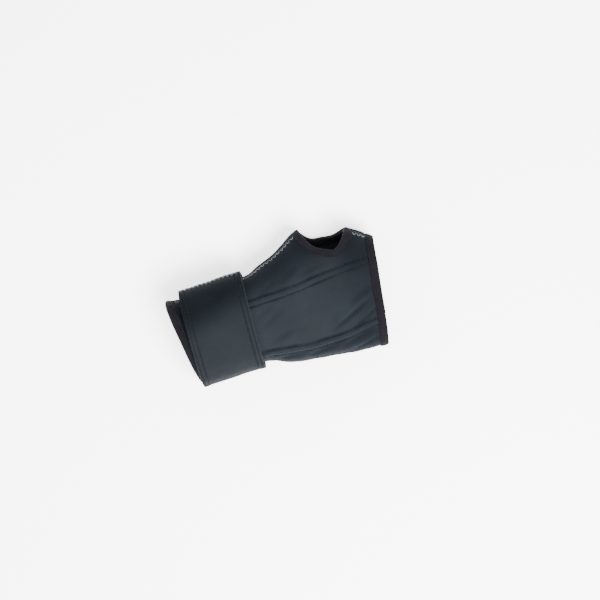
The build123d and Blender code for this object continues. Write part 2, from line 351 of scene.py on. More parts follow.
def new_material(name):
    """A material, its nodes, its links and its shader, with a helper that adds linked nodes."""
    made = bpy.data.materials.new(name)
    made.use_nodes = True
    tree = made.node_tree

    def add(kind, inputs=None, **settings):
        node = tree.nodes.new(kind)
        for key, value in settings.items():
            setattr(node, key, value)
        for key, value in (inputs or {}).items():
            if isinstance(value, bpy.types.NodeSocket):
                tree.links.new(value, node.inputs[key])
            else:
                node.inputs[key].default_value = value
        return node

    return made, add, tree.nodes["Principled BSDF"]


def arithmetic(add):
    """A helper that adds linked Math nodes."""

    def maths(operation, first, second=0.0):
        return add("ShaderNodeMath", {0: first, 1: second}, operation=operation).outputs[0]

    return maths


def dyed(add, amount, colour, strengths, span=(0.3, 0.7)):
    """A colour that goes from one strength of itself to another as the amount rises."""
    ramp = add("ShaderNodeValToRGB", {"Fac": amount})
    for element, position, strength in zip(ramp.color_ramp.elements, span, strengths):
        element.position = position
        element.color = [c * strength for c in colour] + [1]
    return ramp.outputs["Color"]


def knit(name, colour, *, wale=0.62, course=0.5, depth=0.11, fuzz=0.5, mottle=0.16, sheen=0.03, rough=0.85):
    """Fine jersey: interlocked loops in columns, with pilling, and painted shade: darker, bluer and with a
    weaker highlight where the point attribute of painted shade is low.
    """
    made, add, shader = new_material(name)
    maths = arithmetic(add)
    weave = add("ShaderNodeUVMap", uv_map="weave")
    axes = add("ShaderNodeSeparateXYZ", {0: weave.outputs["UV"]})
    u, v = axes.outputs["X"], axes.outputs["Y"]
    column = maths("ABSOLUTE", maths("SINE", maths("MULTIPLY", v, math.pi / wale)))
    slant = maths("MULTIPLY", column, course * 0.55)
    loops = maths("SINE", maths("MULTIPLY", maths("ADD", u, slant), 2 * math.pi / course))
    loops = maths("ADD", maths("MULTIPLY", loops, 0.35), 0.65)
    height = maths("MULTIPLY", column, loops)
    place = add("ShaderNodeTexCoord").outputs["Object"]
    pills = add("ShaderNodeTexNoise", {"Vector": place, "Scale": 900, "Detail": 4, "Roughness": 0.7})
    clouds = add("ShaderNodeTexNoise", {"Vector": place, "Scale": 38, "Detail": 5, "Roughness": 0.62})
    broad = add("ShaderNodeTexNoise", {"Vector": place, "Scale": 11, "Detail": 2, "Roughness": 0.5})
    height = maths("ADD", height, maths("MULTIPLY", pills.outputs["Fac"], fuzz))
    bump = add("ShaderNodeBump", {"Height": height, "Distance": depth * MM, "Strength": 0.8})
    tone = maths("MULTIPLY", broad.outputs["Fac"], 0.4)
    tone = maths("ADD", maths("MULTIPLY", clouds.outputs["Fac"], 0.6), tone)
    # Painted shade: the knit is drawn a little darker in the hollows between its loops.
    tone = maths("ADD", tone, maths("MULTIPLY", maths("SUBTRACT", height, 0.7), 0.18))
    dye = dyed(add, tone, colour, (1 - 2.2 * mottle, 1 + 2.2 * mottle))
    # Painted shade: where the attribute is low the colour is darkened and turned bluer, and the specular
    # highlight weakened.
    painted_shade = add("ShaderNodeAttribute", attribute_name="painted_shade").outputs["Fac"]
    shade_tint = add("ShaderNodeValToRGB", {"Fac": painted_shade})
    shade_tint.color_ramp.elements[0].color = (0.42, 0.47, 0.54, 1)
    tint = add("ShaderNodeVectorMath", {0: dye, 1: shade_tint.outputs["Color"]}, operation="MULTIPLY")
    shaded_gloss = add("ShaderNodeMapRange", {"Value": painted_shade, "To Min": 0.045, "To Max": 0.125})
    limits = {"To Min": rough - 0.07, "To Max": rough + 0.08}
    uneven = add("ShaderNodeMapRange", {"Value": clouds.outputs["Fac"], **limits})
    links = made.node_tree.links
    links.new(tint.outputs["Vector"], shader.inputs["Base Color"])
    links.new(uneven.outputs[0], shader.inputs["Roughness"])
    links.new(shaded_gloss.outputs[0], shader.inputs["Specular IOR Level"])
    links.new(bump.outputs["Normal"], shader.inputs["Normal"])
    shader.inputs["Sheen Weight"].default_value = sheen
    shader.inputs["Sheen Roughness"].default_value = 0.45
    shader.inputs["Sheen Tint"].default_value = (0.75, 0.85, 1, 1)
    shader.inputs["Specular Tint"].default_value = (0.82, 0.92, 1, 1)
    return made


outer_knit = knit("slate_nylon_knit", (0.0049, 0.0062, 0.0077))
lining_knit = knit("lining_knit", (0.012, 0.013, 0.015), wale=0.9, course=0.8, depth=0.16, fuzz=1.1)


def radial_ridge(point):
    return point[..., 1] - through(point[..., 0], RIDGE_X, RADIAL_RIDGE_Y)


def ulnar_ridge(point):
    return point[..., 1] - through(point[..., 0], RIDGE_X, ULNAR_RIDGE_Y)


def sew_to_sleeve(parts, node):
    """Puts pieces in the place of a node of the sleeve."""
    for part in parts:
        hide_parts(node)
        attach(part, "sleeve")


def sew_panel(name, rings, node):
    piece = swept(name, rings, two_faced=True)
    piece.data.materials.append(outer_knit)
    piece.data.materials.append(lining_knit)
    sew_to_sleeve([piece], node)


full_length = np.linspace(PROXIMAL_EDGE, DISTAL_EDGE, int((DISTAL_EDGE - PROXIMAL_EDGE) / STEP))
radial_line = (full_length, turn_where(full_length, radial_ridge, 0.02, 3.1))
ulnar_line = (full_length, turn_where(full_length, ulnar_ridge, 0.02, 3.1))
rings = sheet_rings(radial_line, ulnar_line, 60)
sew_panel("palmar_panel_cloth", rings, "palmar_panel")

# ---------------------------------------------------------------------------------------------
# Ulnar panel: the same laminate, wrapped round the little-finger side from the ulnar ridge to a
# flat seam on the back of the hand.
dorsal_line = (full_length, turn_where(full_length, ulnar_ridge, -0.02, -3.1) + 2 * math.pi)
rings = sheet_rings(ulnar_line, dorsal_line, 60)
sew_panel("ulnar_panel_cloth", rings, "ulnar_panel")

# ---------------------------------------------------------------------------------------------
# Thenar panel: over the ball of the thumb, from the radial ridge to the thumb-side seam, with
# the palm half of the thumb hole cut out of its lower edge.
THUMB_X, THUMB_HEIGHT = 45.3, 22.5
THUMB_HALF = (18.8, 17.0)
THUMB_TILT = math.radians(11.0)
SIDE_SEAM = (26.0, 0.05)
HALF_SEAM_AT_HOLE = 0.08


def place_of(point):
    """The place and direction of a point on the skin."""
    x, y, z = point[..., 0], point[..., 1], point[..., 2]
    slope = (DISTAL_LEAN - PROXIMAL_LEAN) / (DISTAL_EDGE - PROXIMAL_EDGE)
    place = (x - (PROXIMAL_LEAN - PROXIMAL_EDGE * slope) * y) / (1 + slope * y)
    ulnar, radial = through(x, STATION, ULNAR_SIDE), through(x, STATION, RADIAL_SIDE)
    dorsal, palm = through(x, STATION, DORSAL_SIDE), PALM_HEIGHT - PALM_FALL * x
    half_width = np.where(y >= CREST, radial - CREST, CREST - ulnar)
    return place, np.arctan2((z - (palm + dorsal) / 2) / (palm - dorsal) * 2, (y - CREST) / half_width)


def thumb_rim(angle, grow_x=0.0, grow_z=0.0):
    """Place and direction of the thumb hole's rim, or of a line round it."""
    c, s = np.cos(angle), np.sin(angle)
    reach = (np.abs(c) ** 3 + np.abs(s) ** 3) ** (-1 / 3)
    local_x, z = (THUMB_HALF[0] + grow_x) * reach * c, THUMB_HEIGHT + (THUMB_HALF[1] + grow_z) * reach * s
    near, far = np.full(c.shape, -22.0), np.full(c.shape, 40.0)
    for _ in range(40):
        middle = (near + far) / 2
        x = THUMB_X + local_x * math.cos(THUMB_TILT) + middle * math.sin(THUMB_TILT)
        y = 36.5 - local_x * math.sin(THUMB_TILT) + middle * math.cos(THUMB_TILT)
        point = np.stack([x, y, z + 0 * x], -1)
        surface = section_point(x, place_of(point)[1])
        inside = np.hypot(y - CREST, z - 24) < np.hypot(surface[..., 1] - CREST, surface[..., 2] - 24)
        near, far = np.where(inside, middle, near), np.where(inside, far, middle)
    return place_of(point)


def side_seam(point):
    return point[..., 2] - (SIDE_SEAM[0] - SIDE_SEAM[1] * point[..., 0])


def notched_edge(palm_side):
    """The side seam's line, with one half of the thumb hole's rim in its place along the hole."""
    first, last = (math.pi - HALF_SEAM_AT_HOLE, HALF_SEAM_AT_HOLE)
    if not palm_side:
        first, last = math.pi - HALF_SEAM_AT_HOLE, 2 * math.pi + HALF_SEAM_AT_HOLE
    rim = thumb_rim(np.linspace(first, last, 90))
    before = np.linspace(PROXIMAL_EDGE, rim[0][0] - 0.6, int((rim[0][0] - PROXIMAL_EDGE) / STEP))
    after = np.linspace(rim[0][-1] + 0.6, DISTAL_EDGE, int((DISTAL_EDGE - rim[0][-1]) / STEP))
    turns = [turn_where(part, side_seam, -1.2, 1.3) for part in (before, after)]
    return np.concatenate([before, rim[0], after]), np.concatenate([turns[0], rim[1], turns[1]])


def evened(place, window=31):
    """The same places, spread out where they bunch up."""
    before, after = 2 * place[0] - place[window:0:-1], 2 * place[-1] - place[-2 : -window - 2 : -1]
    padded = np.concatenate([before, place, after])
    smooth = np.convolve(padded, np.ones(window) / window, "same")[window : window + len(place)]
    return np.interp(smooth, (smooth[0], smooth[-1]), (place[0], place[-1]))


rim_line = notched_edge(palm_side=True)
opposite = evened(rim_line[0])
rings = sheet_rings(rim_line, (opposite, turn_where(opposite, radial_ridge, 0.02, 3.1)), 52)
sew_panel("thenar_panel_cloth", rings, "thenar_panel")

# ---------------------------------------------------------------------------------------------
# Dorsal panel: the whole back of the hand and wrist, from the ulnar-dorsal seam to the side
# seam, with the other half of the thumb hole. The splint lies on it.
rim_line = notched_edge(palm_side=False)
opposite = evened(rim_line[0])
rings = sheet_rings((opposite, turn_where(opposite, ulnar_ridge, -0.02, -3.1)), rim_line, 110)
sew_panel("dorsal_panel_cloth", rings, "dorsal_panel")

# ---------------------------------------------------------------------------------------------
# Radial ridge: the palmar and thenar panels meet in a folded seam allowance, which stands up as
# a soft round welt with a row of lockstitch sunk into the fabric on both sides of it.
def beside(line):
    """How place and direction change per millimetre square to a line on the skin, to its left."""
    place, turn = line
    by_place = (skin(place + 0.2, turn) - skin(place - 0.2, turn)) / 0.4
    by_turn = (skin(place, turn + 0.004) - skin(place, turn - 0.004)) / 0.008
    ahead = by_place * np.gradient(place)[:, None] + by_turn * np.gradient(turn)[:, None]
    side = np.cross(np.cross(by_turn, by_place), ahead)
    side /= np.linalg.norm(side, axis=-1, keepdims=True)

    def dot(a, b):
        return (a * b).sum(-1)

    pp, pt, tt = dot(by_place, by_place), dot(by_place, by_turn), dot(by_turn, by_turn)
    sp, st = dot(side, by_place), dot(side, by_turn)
    return (sp * tt - st * pt) / (pp * tt - pt**2), (st * pp - sp * pt) / (pp * tt - pt**2)


def ribbon(line, profile):
    """Rings of a piece that follows a line on the skin. The profile gives (distance to the left
    of the line, height) round the piece."""
    a, b = beside(line)
    offset, out = np.array(profile).T
    place, turn = line[0][:, None] + a[:, None] * offset, line[1][:, None] + b[:, None] * offset
    return sleeve(place, turn, out[None, :])


def even_row(line, offset, out, spacing):
    """Points evenly spaced beside a line on the skin, with the directions ahead and outward."""
    a, b = beside(line)
    place, turn = line[0] + a * offset, line[1] + b * offset
    points = sleeve(place, turn, out)
    along = np.concatenate([[0], np.cumsum(np.linalg.norm(np.diff(points, axis=0), axis=-1))])
    count = max(2, round(along[-1] / spacing))
    at = (np.arange(count) + 0.5) * along[-1] / count

    def between(values, where):
        return np.stack([np.interp(where, along, values[:, i]) for i in range(3)], -1)

    ahead = between(points, at + 0.4) - between(points, at - 0.4)
    return between(points, at), ahead, between(outward(skin, place, turn), at)


def sewing_nodes():
    """Geometry Nodes that set one small object on every point, along and up as the point says."""
    tree = bpy.data.node_groups.new("one_on_every_point", "GeometryNodeTree")
    kinds = {"Points": "Geometry", "Piece": "Object", "Material": "Material", "Twist": "Float", "Seed": "Int"}
    sockets = {}
    for socket, kind in kinds.items():
        kind = "NodeSocket" + kind
        sockets[socket] = tree.interface.new_socket(socket, in_out="INPUT", socket_type=kind)
    tree.interface.new_socket("Sewn", in_out="OUTPUT", socket_type="NodeSocketGeometry")

    def node(kind, **settings):
        made = tree.nodes.new(kind)
        for key, value in settings.items():
            setattr(made, key, value)
        return made

    into, out = node("NodeGroupInput"), node("NodeGroupOutput")
    piece = node("GeometryNodeObjectInfo")
    up = node("GeometryNodeInputNamedAttribute", data_type="FLOAT_VECTOR")
    ahead = node("GeometryNodeInputNamedAttribute", data_type="FLOAT_VECTOR")
    up.inputs["Name"].default_value = "up"
    ahead.inputs["Name"].default_value = "ahead"
    facing = node("FunctionNodeAxesToRotation", primary_axis="Z", secondary_axis="X")
    least = node("ShaderNodeVectorMath", operation="SCALE")
    least.inputs[0].default_value = (-1, -1, -1)
    most = node("ShaderNodeVectorMath", operation="SCALE")
    most.inputs[0].default_value = (1, 1, 1)
    chance = node("FunctionNodeRandomValue", data_type="FLOAT_VECTOR")
    euler = node("FunctionNodeEulerToRotation")
    turned = node("FunctionNodeRotateRotation", rotation_space="LOCAL")
    size = node("FunctionNodeRandomValue", data_type="FLOAT_VECTOR")
    size.inputs["Min"].default_value = (0.9, 0.88, 0.85)
    size.inputs["Max"].default_value = (1.1, 1.12, 1.15)
    placed = node("GeometryNodeInstanceOnPoints")
    real = node("GeometryNodeRealizeInstances")
    coat = node("GeometryNodeSetMaterial")
    join = tree.links.new
    join(into.outputs["Points"], placed.inputs["Points"])
    join(into.outputs["Piece"], piece.inputs["Object"])
    join(piece.outputs["Geometry"], placed.inputs["Instance"])
    join(up.outputs["Attribute"], facing.inputs["Primary Axis"])
    join(ahead.outputs["Attribute"], facing.inputs["Secondary Axis"])
    join(into.outputs["Twist"], least.inputs["Scale"])
    join(into.outputs["Twist"], most.inputs["Scale"])
    join(least.outputs["Vector"], chance.inputs["Min"])
    join(most.outputs["Vector"], chance.inputs["Max"])
    join(into.outputs["Seed"], chance.inputs["Seed"])
    join(into.outputs["Seed"], size.inputs["Seed"])
    join(chance.outputs["Value"], euler.inputs["Euler"])
    join(facing.outputs["Rotation"], turned.inputs["Rotation"])
    join(euler.outputs["Rotation"], turned.inputs["Rotate By"])
    join(turned.outputs["Rotation"], placed.inputs["Rotation"])
    join(size.outputs["Value"], placed.inputs["Scale"])
    join(placed.outputs["Instances"], real.inputs["Geometry"])
    join(real.outputs["Geometry"], coat.inputs["Geometry"])
    join(into.outputs["Material"], coat.inputs["Material"])
    join(coat.outputs["Geometry"], out.inputs["Sewn"])
    return tree, {name: socket.identifier for name, socket in sockets.items()}


sewing, sewing_sockets = sewing_nodes()


def tube(name, path, radius, sides=6):
    """A thin closed tube along points in millimetres, for a thread or a hook."""
    path = np.array(path, float)
    ahead = np.gradient(path, axis=0)
    ahead /= np.linalg.norm(ahead, axis=-1, keepdims=True)
    left = np.cross((0, 0, 1), ahead)
    left = np.where(np.linalg.norm(left, axis=-1, keepdims=True) < 0.05, (0, 1, 0), left)
    left /= np.linalg.norm(left, axis=-1, keepdims=True)
    above = np.cross(ahead, left)
    radius = np.broadcast_to(radius, len(path))[:, None, None]
    turn = 2 * math.pi * np.arange(sides) / sides
    around = np.cos(turn)[:, None] * left[:, None] + np.sin(turn)[:, None] * above[:, None]
    rings = path[:, None] + radius * around
    first = np.arange(len(path) - 1)[:, None] * sides
    side = np.arange(sides)
    quads = np.stack([first + side, first + (side + 1) % sides], -1)
    quads = np.concatenate([quads, quads[..., ::-1] + sides], -1).reshape(-1, 4).tolist()
    quads += [list(range(sides))[::-1], list(range((len(path) - 1) * sides, len(path) * sides))]
    data = bpy.data.meshes.new(name)
    data.from_pydata((rings * MM).reshape(-1, 3).tolist(), [], quads)
    data.polygons.foreach_set("use_smooth", np.ones(len(quads), bool))
    return bpy.data.objects.new(name, data)


def set_on_points(name, rows, piece, material, *, twist=0.06, seed=1):
    """One object with a copy of piece on every point of the rows."""
    points, ahead, up = (np.concatenate(part) for part in zip(*rows))
    data = bpy.data.meshes.new(name)
    data.from_pydata(((points + TO_FRAME) * MM).tolist(), [], [])
    for attribute, values in (("ahead", ahead), ("up", up)):
        layer = data.attributes.new(attribute, "FLOAT_VECTOR", "POINT")
        layer.data.foreach_set("vector", values.astype(np.float32).ravel())
    carrier = bpy.data.objects.new(name + "_points", data)
    bpy.context.scene.collection.objects.link(carrier)
    modifier = carrier.modifiers.new("sewing", "NODES")
    modifier.node_group = sewing
    for socket, value in (("Piece", piece), ("Material", material), ("Twist", twist), ("Seed", seed)):
        modifier[sewing_sockets[socket]] = value
    ready = carrier.evaluated_get(bpy.context.evaluated_depsgraph_get())
    mesh = bpy.data.meshes.new_from_object(ready)
    carrier.modifiers.clear()
    bpy.data.objects.remove(carrier)
    mesh.name = name
    sewn = bpy.data.objects.new(name, mesh)
    bpy.context.scene.collection.objects.link(sewn)
    return sewn


def thread(name, colour, rough=0.6):
    """Twisted filament thread, with a fine bump of plies and an uneven dye."""
    made, add, shader = new_material(name)
    place = add("ShaderNodeTexCoord").outputs["Object"]
    plies = add("ShaderNodeTexNoise", {"Vector": place, "Scale": 2600, "Detail": 2})
    patchy = add("ShaderNodeTexNoise", {"Vector": place, "Scale": 160, "Detail": 2})
    dye = dyed(add, patchy.outputs["Fac"], colour, (0.6, 1.35))
    bump = add("ShaderNodeBump", {"Height": plies.outputs["Fac"], "Distance": 0.00008, "Strength": 0.7})
    made.node_tree.links.new(dye, shader.inputs["Base Color"])
    made.node_tree.links.new(bump.outputs["Normal"], shader.inputs["Normal"])
    shader.inputs["Roughness"].default_value = rough
    shader.inputs["Specular IOR Level"].default_value = 0.12
    return made


seam_knit = knit("seam_knit", (0.0042, 0.0058, 0.0074), wale=0.5, course=0.45, fuzz=0.4)
dark_thread = thread("slate_thread", (0.0032, 0.0038, 0.005), rough=0.85)
STITCH = [(-1.25, 0, -0.45), (-1.15, 0, -0.05), (-0.8, 0, 0.14)]
STITCH += [(0, 0, 0.2)] + [(-x, 0, z) for x, _, z in STITCH[::-1]]
lockstitch = tube("lockstitch", STITCH, (0.15, 0.19, 0.22, 0.23, 0.22, 0.19, 0.15))
STITCH_PITCH = 3.0
SEWN_BESIDE = 3.0
CLEAR_OF_BINDING = 5.2
WELT = [(-2.45, -0.75), (-2.3, -0.1), (-2.05, 0.55), (-1.6, 1.05), (-1.0, 1.38), (-0.35, 1.52)]
WELT += [(-d, h) for d, h in WELT[::-1]]
WELT += [(d * 0.9, -1.1) for d, h in WELT[::-1]]


def between_bindings(line):
    """The stretch of a line on the skin that the two bindings leave free."""
    low, high = PROXIMAL_EDGE + CLEAR_OF_BINDING, DISTAL_EDGE - CLEAR_OF_BINDING
    kept = (line[0] > low) & (line[0] < high)
    return line[0][kept], line[1][kept]


def sew_welt(name, line, node, seed):
    """A raised seam along a line on the skin, with a row of stitches on both sides."""
    line = between_bindings(line)
    piece = swept(name + "_welt", ribbon(line, WELT))
    piece.data.materials.append(seam_knit)
    rows = [even_row(line, offset, 0.05, STITCH_PITCH) for offset in (-SEWN_BESIDE, SEWN_BESIDE)]
    stitches = set_on_points(name + "_stitches", rows, lockstitch, dark_thread, seed=seed)
    sew_to_sleeve((piece, stitches), node)


sew_welt("radial_ridge", radial_line, "radial_ridge", 31)

# ---------------------------------------------------------------------------------------------
# Ulnar ridge: the same welt between the palmar and the ulnar panel. It ends in the puckered
# corner below the little finger.
sew_welt("ulnar_ridge", ulnar_line, "ulnar_ridge", 32)

# ---------------------------------------------------------------------------------------------
# Dorsal seam: a flat tape of the same knit over the join of the ulnar and dorsal panels, kept
# low because the hand rests on it, with a lockstitch near both of its edges.
TAPE = [(-1, 0.0), (-0.97, 0.4), (-0.85, 0.62), (-0.6, 0.55), (-0.3, 0.68)]
TAPE += [(-d, h) for d, h in TAPE[::-1]]
TAPE += [(d, -0.6) for d, h in TAPE[::-1]]


def tape(name, line, width, node, rows, piece, material, seed):
    """A flat tape sewn along a line on the skin."""
    cloth = swept(name + "_tape", ribbon(line, [(d * width / 2, h) for d, h in TAPE]))
    cloth.data.materials.append(seam_knit)
    stitches = set_on_points(name + "_stitches", rows, piece, material, seed=seed)
    sew_to_sleeve((cloth, stitches), node)


DORSAL_TAPE_WIDTH = 4.6
line = between_bindings(dorsal_line)
rows = [even_row(line, offset, 0.6, STITCH_PITCH) for offset in (-1.4, 1.4)]
tape("dorsal_seam", line, DORSAL_TAPE_WIDTH, "dorsal_seam", rows, lockstitch, dark_thread, 33)

# ---------------------------------------------------------------------------------------------
# Side seam: a flatlocked join along the thumb side, in two runs, before and after the thumb
# hole. Its zigzag of pale thread crosses the tape and shows as specks along the hand's outline.
pale_thread = thread("ash_thread", (0.11, 0.125, 0.135), rough=0.7)
STITCH = [(-1.45, 0, -0.4), (-1.3, 0, 0.0), (-0.8, 0, 0.16)]
STITCH += [(0, 0, 0.2)] + [(-x, 0, z) for x, _, z in STITCH[::-1]]
zigzag = tube("zigzag_stitch", STITCH, (0.14, 0.18, 0.2, 0.21, 0.2, 0.18, 0.14))
ZIGZAG_PITCH, ZIGZAG_SLANT = 1.7, 55
OVERCAST_PITCH, OVERCAST_SLANT = 1.9, 60
SIDE_TAPE_WIDTH = 6.0
CLEAR_OF_THUMB = 3.6


def slanted(row, degrees):
    """The same row, with every other stitch turned one way and the rest the other."""
    points, ahead, up = row
    side = np.cross(up, ahead)
    way = np.where(np.arange(len(points)) % 2, 1, -1)[:, None] * math.tan(math.radians(degrees))
    return points, ahead + way * side, up


SEAM_TO_PALM = -8.0
rim = thumb_rim(np.linspace(0, 2 * math.pi, 181))
hole_start, hole_end = rim[0].min(), rim[0].max()
for name, low, high in (
    ("side_seam_wrist", PROXIMAL_EDGE + CLEAR_OF_BINDING, hole_start - CLEAR_OF_THUMB),
    ("side_seam_palm", hole_end + CLEAR_OF_THUMB, DISTAL_EDGE - CLEAR_OF_BINDING),
):
    place = np.linspace(low, high, max(8, int((high - low) / STEP)))
    line = (place, turn_where(place, side_seam, -1.2, 1.3))
    rows = [slanted(even_row(line, side, 0.62, ZIGZAG_PITCH), ZIGZAG_SLANT) for side in (-1.25, 1.25)]
    tape(name, line, SIDE_TAPE_WIDTH, "side_seam", rows, zigzag, pale_thread, 34)
    row = slanted(even_row(line, SEAM_TO_PALM, 0.06, OVERCAST_PITCH), OVERCAST_SLANT)
    overcast = set_on_points(name + "_overcast", [row], lockstitch, pale_thread, twist=0.15, seed=35)
    sew_to_sleeve([overcast], "side_seam")

# ---------------------------------------------------------------------------------------------
# Distal binding: a 16 mm tape folded over the raw edge round the fingers, caught by one row of
# stitches near its free edge on the outside and the same row inside.
BINDING_WIDTH, BINDING_PITCH = 5.8, 2.9


def folded_tape(width, thick=0.9):
    """The section of a tape folded over an edge, as (distance into the fabric, height)."""
    outside = [(width, 0.12), (width - 0.12, 0.55), (width - 0.5, thick - 0.02), (width - 1.0, thick - 0.1)]
    outside += [(width - 1.45, thick - 0.42), (width - 1.9, thick - 0.08), (width - 2.4, thick + 0.1)]
    outside += [(o, thick + 0.16) for o in np.linspace(width - 3.1, 0.5, 4)]
    around = [math.radians(a) for a in np.linspace(90, -90, 13)]
    fold_over = [(-1.15 * math.cos(a), -1.4 + (1.4 + thick + 0.1) * math.sin(a)) for a in around]
    inside = [(o, -FABRIC - h) for o, h in outside[::-1]]
    outer = outside + fold_over + inside
    inner = [(max(o, 0.03), -1.4 + (h + 1.4) * 1.4 / (1.45 + thick)) for o, h in outer]
    return outer + inner[::-1]


def weave_tape(name, colour):
    """Ribbed polyester tape: fine cross ribs and picks, with fluff and an uneven dye."""
    made, add, shader = new_material(name)
    maths = arithmetic(add)
    weave = add("ShaderNodeUVMap", uv_map="weave")
    axes = add("ShaderNodeSeparateXYZ", {0: weave.outputs["UV"]})
    ribs = maths("ABSOLUTE", maths("SINE", maths("MULTIPLY", axes.outputs["X"], math.pi / 0.55)))
    picks = maths("SINE", maths("MULTIPLY", axes.outputs["Y"], 2 * math.pi / 0.42))
    height = maths("ADD", ribs, maths("MULTIPLY", picks, 0.3))
    place = add("ShaderNodeTexCoord").outputs["Object"]
    clouds = add("ShaderNodeTexNoise", {"Vector": place, "Scale": 60, "Detail": 4, "Roughness": 0.65})
    fluff = add("ShaderNodeTexNoise", {"Vector": place, "Scale": 1100, "Detail": 3})
    height = maths("ADD", height, maths("MULTIPLY", fluff.outputs["Fac"], 0.6))
    bump = add("ShaderNodeBump", {"Height": height, "Distance": 0.0001, "Strength": 0.8})
    dye = dyed(add, clouds.outputs["Fac"], colour, (0.7, 1.3), (0.32, 0.72))
    made.node_tree.links.new(dye, shader.inputs["Base Color"])
    made.node_tree.links.new(bump.outputs["Normal"], shader.inputs["Normal"])
    shader.inputs["Roughness"].default_value = 0.85
    shader.inputs["Specular IOR Level"].default_value = 0.08
    return made


bias_tape = weave_tape("binding_weave", (0.0026, 0.0022, 0.0034))


def bind(name, line, width, overlap, seed, side):
    """Folds a tape over a closed edge. The line runs past its own start by overlap points."""
    profile = [(side * o, h) for o, h in folded_tape(width)]
    piece = swept(name + "_tape", ribbon(line, profile)[overlap : -overlap - 1], loop=True)
    piece.data.materials.append(bias_tape)
    once = (line[0][overlap:-overlap], line[1][overlap:-overlap])
    from_edge = side * (width - 1.45)
    rows = [even_row(once, from_edge, h, BINDING_PITCH) for h in (0.62, -FABRIC - 0.62)]
    rows[1] = (rows[1][0], rows[1][1], -rows[1][2])
    stitches = set_on_points(name + "_stitches", rows, lockstitch, dark_thread, seed=seed)
    sew_to_sleeve((piece, stitches), name)


COUNT, PAST = 340, 3
round_hand = np.arange(-PAST, COUNT + PAST + 1) * 2 * math.pi / COUNT
edge = DISTAL_EDGE + 0.12 * np.sin(3 * round_hand + 1) + 0.08 * np.sin(7 * round_hand)
bind("distal_binding", (edge, round_hand), BINDING_WIDTH, PAST, 35, -1)

# ---------------------------------------------------------------------------------------------
# Proximal binding: the same tape round the forearm end, which is cut on a slant. The strap
# stops short of it on the thumb side, and comes closer to it on the little-finger side.
edge = PROXIMAL_EDGE + 0.12 * np.sin(2 * round_hand + 2) + 0.08 * np.sin(5 * round_hand)
bind("proximal_binding", (edge, round_hand), BINDING_WIDTH, PAST, 36, 1)

# ---------------------------------------------------------------------------------------------
# Thumb binding: a narrower run of the same tape, eased round the thumb hole, where it stands up
# a little as a dark rolled rim.
THUMB_COUNT, THUMB_BINDING_WIDTH = 200, 4.6
round_thumb = np.arange(-PAST, THUMB_COUNT + PAST + 1) * 2 * math.pi / THUMB_COUNT
bind("thumb_binding", thumb_rim(round_thumb), THUMB_BINDING_WIDTH, PAST, 37, 1)

# ---------------------------------------------------------------------------------------------
# Strap backing: a neoprene spacer between the dorsal panel and the strap, which is sewn through
# it to the sleeve, so that the strap can't slide along the wrist.
def block_on_skin(name, places, turns, low, high, material, node, slot):
    """A slab that lies on the sleeve between two places and two directions, its edges rounded."""
    place = np.linspace(*places, int((places[1] - places[0]) / STEP))
    share = np.linspace(0, 1, 48)
    turn = turns[0] + (turns[1] - turns[0]) * share
    length = np.minimum(place - places[0], places[1] - place)[:, None]
    width = (np.minimum(share, 1 - share) * abs(turns[1] - turns[0]) * 30)[None, :]
    round_off = np.minimum(1, np.sqrt(np.maximum(0, np.minimum(length, width)) / 0.9) * 0.8 + 0.2)
    grid = np.meshgrid(place, turn, indexing="ij")
    out = low + (high - low) * round_off
    rings = np.concatenate([sleeve(*grid, out), sleeve(*grid, low + 0 * out)[:, ::-1]], 1)
    piece = swept(name, rings)
    piece.data.materials.append(material)
    sew_to_sleeve([piece], node)


def turn_at(axis, wanted, low=-3.0, high=-0.2):
    """The direction at which the skin under the strap has one of its coordinates as wanted."""
    return float(turn_where(np.array([STRAP_MIDDLE]), lambda point: point[..., axis] - wanted, low, high)[0])


STRAP_MIDDLE = -47.0
BACKING_PLACES, BACKING_FACES = (-67, -27), (0.35, 1.75)
turns = [turn_at(1, y) for y in (-23, 3)]
cut = (BACKING_PLACES, turns, *BACKING_FACES)
block_on_skin("strap_backing_pad", *cut, lining_knit, "strap_backing", "strap_fabric")

# ---------------------------------------------------------------------------------------------
# Loop patch: brushed loop fabric sewn to the thumb side and back of the sleeve, where the
# strap's hooks grip it. A fringe of fine loops covers it.
brushed_look = {"wale": 0.8, "course": 0.7, "depth": 0.3, "fuzz": 2.2, "sheen": 0.2, "rough": 0.95}
pile = knit("loop_pile", (0.012, 0.013, 0.015), **brushed_look)
pile_thread = thread("loop_thread", (0.012, 0.013, 0.016), rough=0.8)
PATCH_PLACES, PATCH_FACES = (-70, -24), (-0.3, 0.6)
LOOPS = 4200
turns = [turn_at(1, 9), turn_at(2, 15, -1.2, 1.2)]
cut = (PATCH_PLACES, turns, *PATCH_FACES)
block_on_skin("loop_patch_cloth", *cut, pile, "loop_patch", "loop_fabric")
LOOP = [(-0.3, 0, -0.1), (-0.34, 0, 0.12), (-0.2, 0, 0.3)]
LOOP += [(0, 0, 0.36)] + [(-x, 0, z) for x, _, z in LOOP[::-1]]
loop = tube("pile_loop", LOOP, 0.05, sides=3)
draw = np.random.default_rng(38)
place = draw.uniform(PATCH_PLACES[0] + 1, PATCH_PLACES[1] - 1, LOOPS)
turn = draw.uniform(turns[0] + 0.04, turns[1] - 0.04, LOOPS)
up = outward(skin, place, turn)
row = (sleeve(place, turn, PATCH_FACES[1]), np.cross(draw.normal(size=(LOOPS, 3)), up), up)
loops = set_on_points("loop_patch_pile", [row], loop, pile_thread, twist=0.5, seed=38)
sew_to_sleeve([loops], "loop_patch")

# ---------------------------------------------------------------------------------------------
# Stay pocket: a strip of lining fabric sewn inside the palmar panel along both sides and across
# its distal end. Its proximal end is open, so the stay can be taken out.
POCKET = (-68.0, 65.0)
POCKET_HALF, POCKET_DEPTH = 12.75, 4.75
STAY_SLOPE = math.atan(PALM_FALL)


